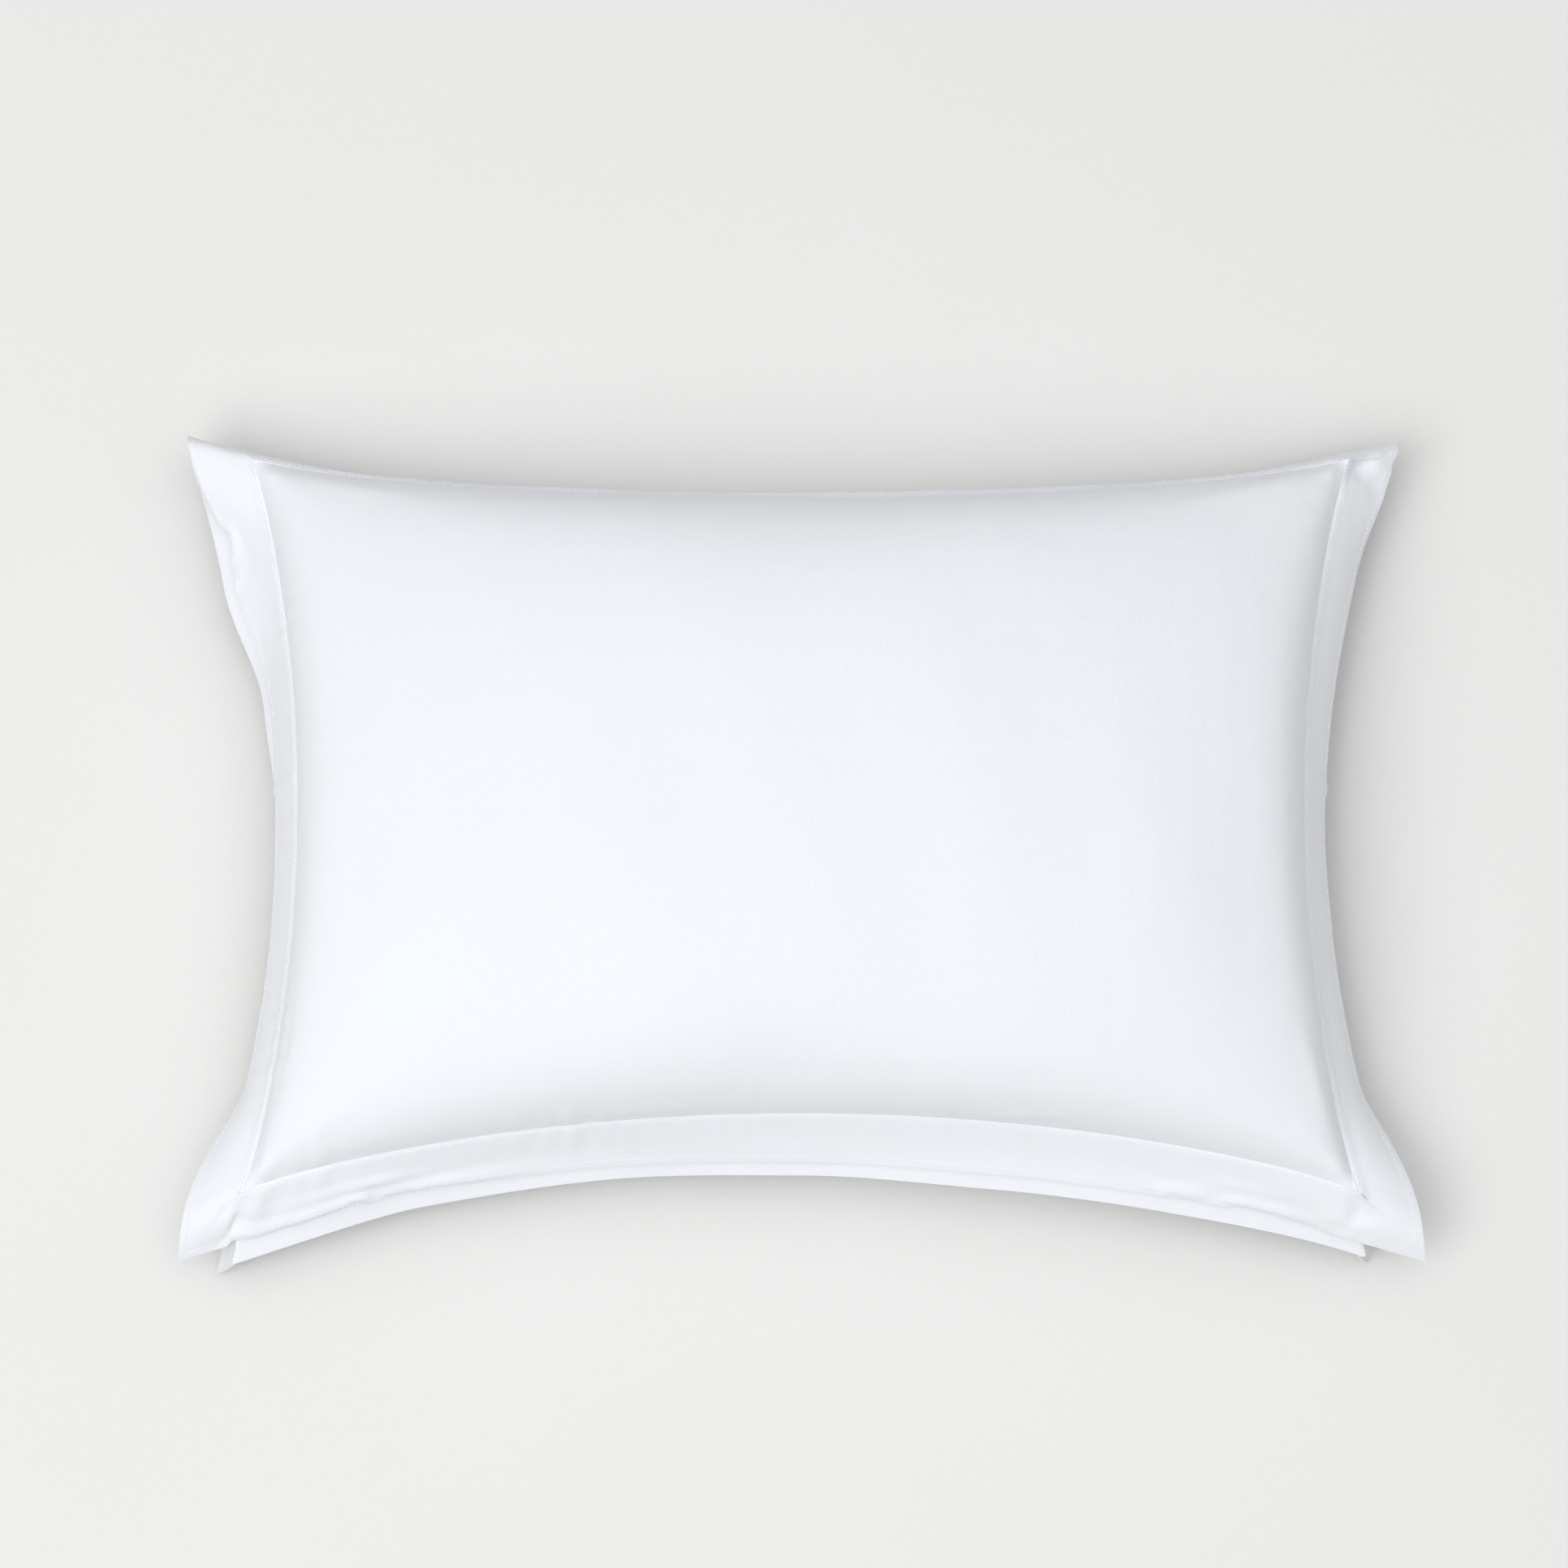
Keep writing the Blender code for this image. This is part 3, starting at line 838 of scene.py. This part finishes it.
def envelope_stitches(name, q):
    """The hem stitches across the back, just under the outer panel's cloth."""
    row = int(np.argmin(np.abs(flat_y[:, 0] - q)))
    line, up = back_fine[row], back_up[row]
    length = np.concatenate([[0], np.cumsum(np.linalg.norm(np.diff(line, axis=0), axis=1))])
    begin = np.arange(0.004, length[-1] - 0.008, STEP)

    def along(values, at):
        return np.stack([np.interp(at, length, values[:, axis]) for axis in range(3)], axis=1)

    outward = -along(up, begin)
    lifted = outward * THREAD * 0.2
    lifted[:, 2] = np.maximum(lifted[:, 2], THREAD - along(line, begin)[:, 2])
    return stitches(name, along(line, begin) + lifted, along(line, begin + STITCH) + lifted, outward)


back_stitches = envelope_stitches("envelope_stitches", OUTER_EDGE - ENVELOPE_HEM + 0.001)
all_stitches = [seam_stitches, front_hem_stitches, back_hem_stitches, back_stitches]

# %% [markdown]
# ## The insert
# Inside is the pillow itself: a case of two ticking panels with a thin piping cord around its edge, and the filling. It
# is seen only when the cover is taken off. It takes the cover's form a few millimetres further in, so the same sheets
# are drawn in towards the middle of the pillow. Two small tapes carry no lettering: one is sewn into the cover, and the
# other is on the insert.

# %% The insert's case and filling
CASE_INSET, FILLING_INSET, PIPING = 0.0075, 0.0095, 0.0015
CORNER_ROOM = 0.014           # an insert never reaches into its cover's thin corners


def drawn_in(sheet, inset):
    """A sheet this far inside the cover, scaled towards the middle of the pillow."""
    middle = np.array([*SEAM_MIDDLE, SEAM_HEIGHT])
    half = np.array([SEAM_LENGTH / 2, SEAM_WIDTH / 2, 0])
    rise = np.where(sheet[:, :, 2] > SEAM_HEIGHT, CROWN_RISE, SEAM_HEIGHT)
    scale = np.stack([0 * rise + 1 - inset / half[0], 0 * rise + 1 - inset / half[1], 1 - inset / rise], axis=-1)
    moved = middle + (sheet - middle) * scale
    away = (sheet - middle)[:, :, :2] / half[:2]
    corner = np.clip(np.abs(away[:, :, 0] * away[:, :, 1]), 0, 1) ** 12
    moved[:, :, :2] -= np.sign(away) * (CORNER_ROOM * corner)[:, :, None]
    return moved


half_x, half_y = lattice(CUT_LENGTH, CUT_WIDTH, PLY_CELL)
case_upper = cloth_piece("case_upper", drawn_in(front_sheet, CASE_INSET), half_x, half_y)
thicken(case_upper, CLOTH, -1, np.zeros(half_x.size, bool))
case_lower = cloth_piece("case_lower", drawn_in(back_sheet, CASE_INSET), half_x, half_y)
flip(case_lower)
thicken(case_lower, CLOTH, -1, np.zeros(half_x.size, bool))

filling_top = cloth_piece("filling", drawn_in(front_sheet, FILLING_INSET), half_x, half_y)
filling_base = cloth_piece("filling_base", drawn_in(back_sheet, FILLING_INSET), half_x, half_y)
flip(filling_base)
filling = joined([filling_top, filling_base])
merge(filling)
smooth(filling, 80)

# %% The piping around the case
rim = np.concatenate([front_sheet[0, :-1], front_sheet[:-1, -1], front_sheet[-1, :0:-1], front_sheet[:0:-1, 0]])
rim = drawn_in(rim[None], CASE_INSET - PIPING)[0]
cord = bpy.data.curves.new("piping", "CURVE")
cord.dimensions = "3D"
cord.bevel_depth = PIPING
cord.bevel_resolution = 3
spline = cord.splines.new("POLY")
spline.points.add(len(rim) - 1)
spline.points.foreach_set("co", np.concatenate([rim, np.ones((len(rim), 1))], axis=1).reshape(-1))
spline.use_cyclic_u = True
piping = bpy.data.objects.new("piping", cord)
bpy.context.scene.collection.objects.link(piping)
deselect()
piping.select_set(True)
bpy.context.view_layer.objects.active = piping
bpy.ops.object.convert(target="MESH")
piping = bpy.context.object
smooth(piping, 80)
print("piping", len(piping.data.polygons), "faces,", piping.data.vertices[0].co.to_tuple(3))


# %% The two tapes
def tape(name, node, rise):
    """A small woven tape lying where the frame's label lies, its short ends turned under."""
    low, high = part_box(node)
    length, width = high.x - low.x, high.y - low.y
    across, along = lattice(length, width, 0.001)
    wave = 0.00025 * np.sin(across / length * 9 + 1) * np.cos(along / width * 5)
    ends = (np.abs(along) > width / 2 - 0.004) if width > length else (np.abs(across) > length / 2 - 0.004)
    places = np.stack([across + (low.x + high.x) / 2, along + (low.y + high.y) / 2, rise + wave], axis=-1)
    piece = cloth_piece(name, places, across, along)
    thicken(piece, 0.00025, 0, ends.ravel())
    return piece


tape_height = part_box("care_label")[0].z
care_tape = tape("care_tape", "care_label", tape_height + 0.0010)
insert_tape = tape("insert_tape", "insert_label", tape_height + 0.0004)

# %% [markdown]
# ## Finishes
# The cover is a fine white cotton, slightly blue as bleached bedding is. At arm's length its weave is hardly seen,
# but it breaks up the highlight, and its threads are a little uneven. So the material has a plain weave from two
# crossed waves on the cut's own coordinates, slubs that run along the threads, and soft ironing creases, all as bump,
# and it varies slightly in colour and roughness. The ticking is the same plain weave, coarser, the filling is a mass
# of loose fibres, and the thread has fine strands that show as uneven ridges.

# %% A shader value that can be used in sums
class Field:
    """One output of a shader node. Sums and products of fields add Math nodes, and node() adds any other kind."""

    def __init__(self, tree, socket=None):
        self.tree, self.socket = tree, socket

    def node(self, kind, inputs=None, output=0, **settings):
        made = self.tree.nodes.new(kind)
        for name, value in settings.items():
            setattr(made, name, value)
        for name, value in (inputs or {}).items():
            if isinstance(value, Field):
                self.tree.links.new(value.socket, made.inputs[name])
            else:
                made.inputs[name].default_value = value
        return Field(self.tree, made.outputs[output])

    def math(self, operation, *values):
        return self.node("ShaderNodeMath", dict(enumerate(values)), operation=operation)

    def __add__(self, other):
        return self.math("ADD", self, other)

    def __sub__(self, other):
        return self.math("SUBTRACT", self, other)

    def __rsub__(self, other):
        return self.math("SUBTRACT", other, self)

    def __mul__(self, other):
        return self.math("MULTIPLY", self, other)

    __radd__, __rmul__ = __add__, __mul__

    def sine(self):
        return self.math("SINE", self)


def new_finish(name, sheen, specular=0.35):
    """A material, its first field and its shader, with the values that are the same all over."""
    material = bpy.data.materials.new(name)
    material.use_nodes = True
    shader = material.node_tree.nodes["Principled BSDF"]
    shader.inputs["Sheen Weight"].default_value = sheen
    shader.inputs["Sheen Roughness"].default_value = 0.45
    shader.inputs["Specular IOR Level"].default_value = specular
    return material, Field(material.node_tree), shader


def connect(shader, colour, roughness, normal):
    tree = shader.id_data
    tree.links.new(colour.socket, shader.inputs["Base Color"])
    tree.links.new(roughness.socket, shader.inputs["Roughness"])
    tree.links.new(normal.socket, shader.inputs["Normal"])


def mix_colours(field, factor, dark, light):
    """A colour between two, by a field."""
    mixed = field.node("ShaderNodeMix", {0: factor, 6: (*dark, 1), 7: (*light, 1)}, output=2, data_type="RGBA")
    return mixed


def noise(field, where, scale, detail=3.0, stretch=(1, 1, 1), roughness=0.55):
    """Soft random variation between 0 and 1, drawn out along an axis by a scale below 1."""
    placed = field.node("ShaderNodeMapping", {"Vector": where, "Scale": stretch})
    settings = {"Vector": placed, "Scale": scale, "Detail": detail, "Roughness": roughness}
    return placed.node("ShaderNodeTexNoise", settings)


def bumps(field, height, distance, strength=1.0, under=None):
    inputs = {"Height": height, "Distance": distance, "Strength": strength}
    if under:
        inputs["Normal"] = under
    return field.node("ShaderNodeBump", inputs)


# %% Cotton, for the cover
def woven_cotton(name, dark, light, pitch, weave_depth, crease_depth, sheen):
    """A plain weave with slubs and soft ironing creases, on the cut's own coordinates."""
    material, start, shader = new_finish(name, sheen)
    cut = start.node("ShaderNodeUVMap", uv_map="cloth")
    x = cut.node("ShaderNodeSeparateXYZ", {0: cut}, output=0)
    y = cut.node("ShaderNodeSeparateXYZ", {0: cut}, output=1)
    wobble = noise(cut, cut, 40, 2) * (0.5 * pitch)
    warp = ((x + wobble) * (math.pi / pitch)).sine()
    weft = ((y + wobble) * (math.pi / pitch)).sine()
    weave = warp * weft
    slubs = noise(cut, cut, 900, 2, (1, 0.06, 1)) + noise(cut, cut, 900, 2, (0.06, 1, 1))
    creases_soft = noise(cut, cut, 26, 4, (1, 0.55, 1), 0.5)
    tone = noise(cut, cut, 7, 3)
    fine = bumps(cut, weave * 0.5 + slubs, weave_depth)
    normal = bumps(cut, creases_soft, crease_depth, 1.0, fine)
    colour = mix_colours(cut, tone * 0.7 + slubs * 0.15, dark, light)
    connect(shader, colour, 0.60 + tone * 0.12 + weave * 0.02, normal)
    return material


cotton = woven_cotton("cover cotton", (0.845, 0.865, 0.905), (0.880, 0.895, 0.930), 0.0006, 0.00005, 0.0009, 0.12)
ticking = woven_cotton("ticking", (0.80, 0.795, 0.77), (0.85, 0.845, 0.825), 0.0011, 0.00014, 0.0012, 0.10)
label_cotton = woven_cotton("label tape", (0.83, 0.83, 0.82), (0.88, 0.88, 0.87), 0.0008, 0.00016, 0.0003, 0.30)


# %% Thread, piping cotton and fibre filling, on Object coordinates
def twisted(name, dark, light, scale, depth):
    """Thread or cord: fine strands that show as uneven ridges."""
    material, start, shader = new_finish(name, 0.25)
    where = start.node("ShaderNodeTexCoord", output=3)
    strands = noise(where, where, scale, 2)
    colour = mix_colours(where, strands, dark, light)
    connect(shader, colour, 0.50 + strands * 0.15, bumps(where, strands, depth))
    return material


def fibres(name, dark, light):
    """Crimped loose fibre: two layers of drawn-out noise across each other."""
    material, start, shader = new_finish(name, 0.5, 0.2)
    where = start.node("ShaderNodeTexCoord", output=3)
    strands = noise(where, where, 160, 6, (1, 0.15, 1)) + noise(where, where, 160, 6, (0.15, 1, 1))
    tufts = noise(where, where, 35, 3)
    colour = mix_colours(where, tufts, dark, light)
    connect(shader, colour, 0.85 + tufts * 0.1, bumps(where, strands * 0.3 + tufts, 0.003))
    return material


thread = twisted("sewing thread", (0.86, 0.875, 0.91), (0.92, 0.93, 0.95), 2600, 0.00008)
piping_cotton = twisted("piping cotton", (0.80, 0.795, 0.77), (0.86, 0.855, 0.84), 900, 0.0003)
fibre = fibres("fibre filling", (0.78, 0.77, 0.74), (0.88, 0.875, 0.86))


def give(finish, *pieces):
    for piece in pieces:
        piece.data.materials.clear()
        piece.data.materials.append(finish)


give(cotton, cover_front, cover_back_outer, cover_back_inner, *strips.values())
give(thread, *all_stitches)
give(ticking, case_upper, case_lower)
give(piping_cotton, piping)
give(fibre, filling)
give(label_cotton, care_tape, insert_tape)

# %% [markdown]
# ## Each piece's place in the frame
# Every piece stands for a part of the frame, and the stitches ride along.

# %% Standing for the frame's parts
def stand_for(piece, node):
    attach(piece, "root")
    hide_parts(node)


stand_for(cover_front, "front_panel")
stand_for(cover_back_outer, "back_panel_outer")
stand_for(cover_back_inner, "back_panel_inner")
for node, piece in strips.items():
    width = FRONT_PLY if node.startswith("front") else BACK_PLY
    length = (CUT_WIDTH if node.endswith(("left", "right")) else CUT_LENGTH) + 2 * width
    stand_for(piece, node)
    (length - width) * width
for piece in all_stitches:
    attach(piece, "root")
stand_for(case_upper, "ticking_upper")
stand_for(case_lower, "ticking_lower")
stand_for(piping, "ticking_piping")
stand_for(filling, "fill")
stand_for(care_tape, "care_label")
stand_for(insert_tape, "insert_label")

# %% [markdown]
# ## Floor, light and camera
# The pillow lies on a plain pale floor. White bedding needs a very even light: a bright surround, and a wide soft key
# high over the front left, so that it shades only towards the back right. The camera looks down from nearly overhead
# with a long lens.

# %% Floor
deselect()
bpy.ops.mesh.primitive_grid_add(x_subdivisions=8, y_subdivisions=8, size=9, location=(0, 0, -0.0002))
floor = bpy.context.object
floor.name = "floor"
bpy.ops.object.transform_apply(location=True)
floor_finish, start, shader = new_finish("painted floor", 0.0, 0.2)
where = start.node("ShaderNodeTexCoord", output=3)
mottle = noise(where, where, 3.5, 3)
colour = mix_colours(where, mottle, (0.795, 0.790, 0.775), (0.815, 0.813, 0.802))
connect(shader, colour, 0.75 + mottle * 0.1, bumps(where, noise(where, where, 300, 3), 0.0002))
give(floor_finish, floor)


# %% Light
# The surround is dim at the horizon and bright overhead, which keeps the floor beside the pillow from going dark
def soft_light(name, place, size, power, colour=(1, 1, 1)):
    lamp = bpy.data.lights.new(name, "AREA")
    lamp.shape, lamp.size, lamp.energy, lamp.color = "DISK", size, power, colour
    holder = bpy.data.objects.new(name, lamp)
    holder.location = place
    holder.rotation_euler = (Vector((0, 0, 0.08)) - Vector(place)).to_track_quat("-Z", "Y").to_euler()
    bpy.context.scene.collection.objects.link(holder)


HORIZON, OVERHEAD, KEY_POWER = 0.37, 2.45, 100.0
soft_light("key", (-2.3, -2.0, 4.6), 3.8, KEY_POWER)
world = bpy.data.worlds.new("surround")
world.use_nodes = True
background = world.node_tree.nodes["Background"]
background.inputs["Color"].default_value = (0.99, 0.995, 1.0, 1)
direction = Field(world.node_tree).node("ShaderNodeTexCoord", output=0)
height = direction.node("ShaderNodeSeparateXYZ", {0: direction}, output=2)
squared = height * height
brightness = squared * squared * squared * squared * (OVERHEAD - HORIZON) + HORIZON
world.node_tree.links.new(brightness.socket, background.inputs["Strength"])
bpy.context.scene.world = world
bpy.context.scene.view_settings.view_transform = "Standard"
bpy.context.scene.view_settings.look = "None"

# %% Camera
ELEVATION, DISTANCE, FRAME_WIDTH = math.radians(80), 5.5, 1.033
aim = Vector((SEAM_MIDDLE[0] - 0.011, SEAM_MIDDLE[1] + 0.0158, SEAM_HEIGHT))
camera_data = bpy.data.cameras.new("camera")
camera_data.sensor_width = 36
camera_data.lens = 36 * DISTANCE / FRAME_WIDTH
camera = bpy.data.objects.new("camera", camera_data)
camera.location = aim + DISTANCE * Vector((0, -math.cos(ELEVATION), math.sin(ELEVATION)))
camera.rotation_euler = (aim - camera.location).to_track_quat("-Z", "Y").to_euler()
bpy.context.scene.collection.objects.link(camera)
bpy.context.scene.camera = camera
print("camera at", tuple(round(value, 3) for value in camera.location))
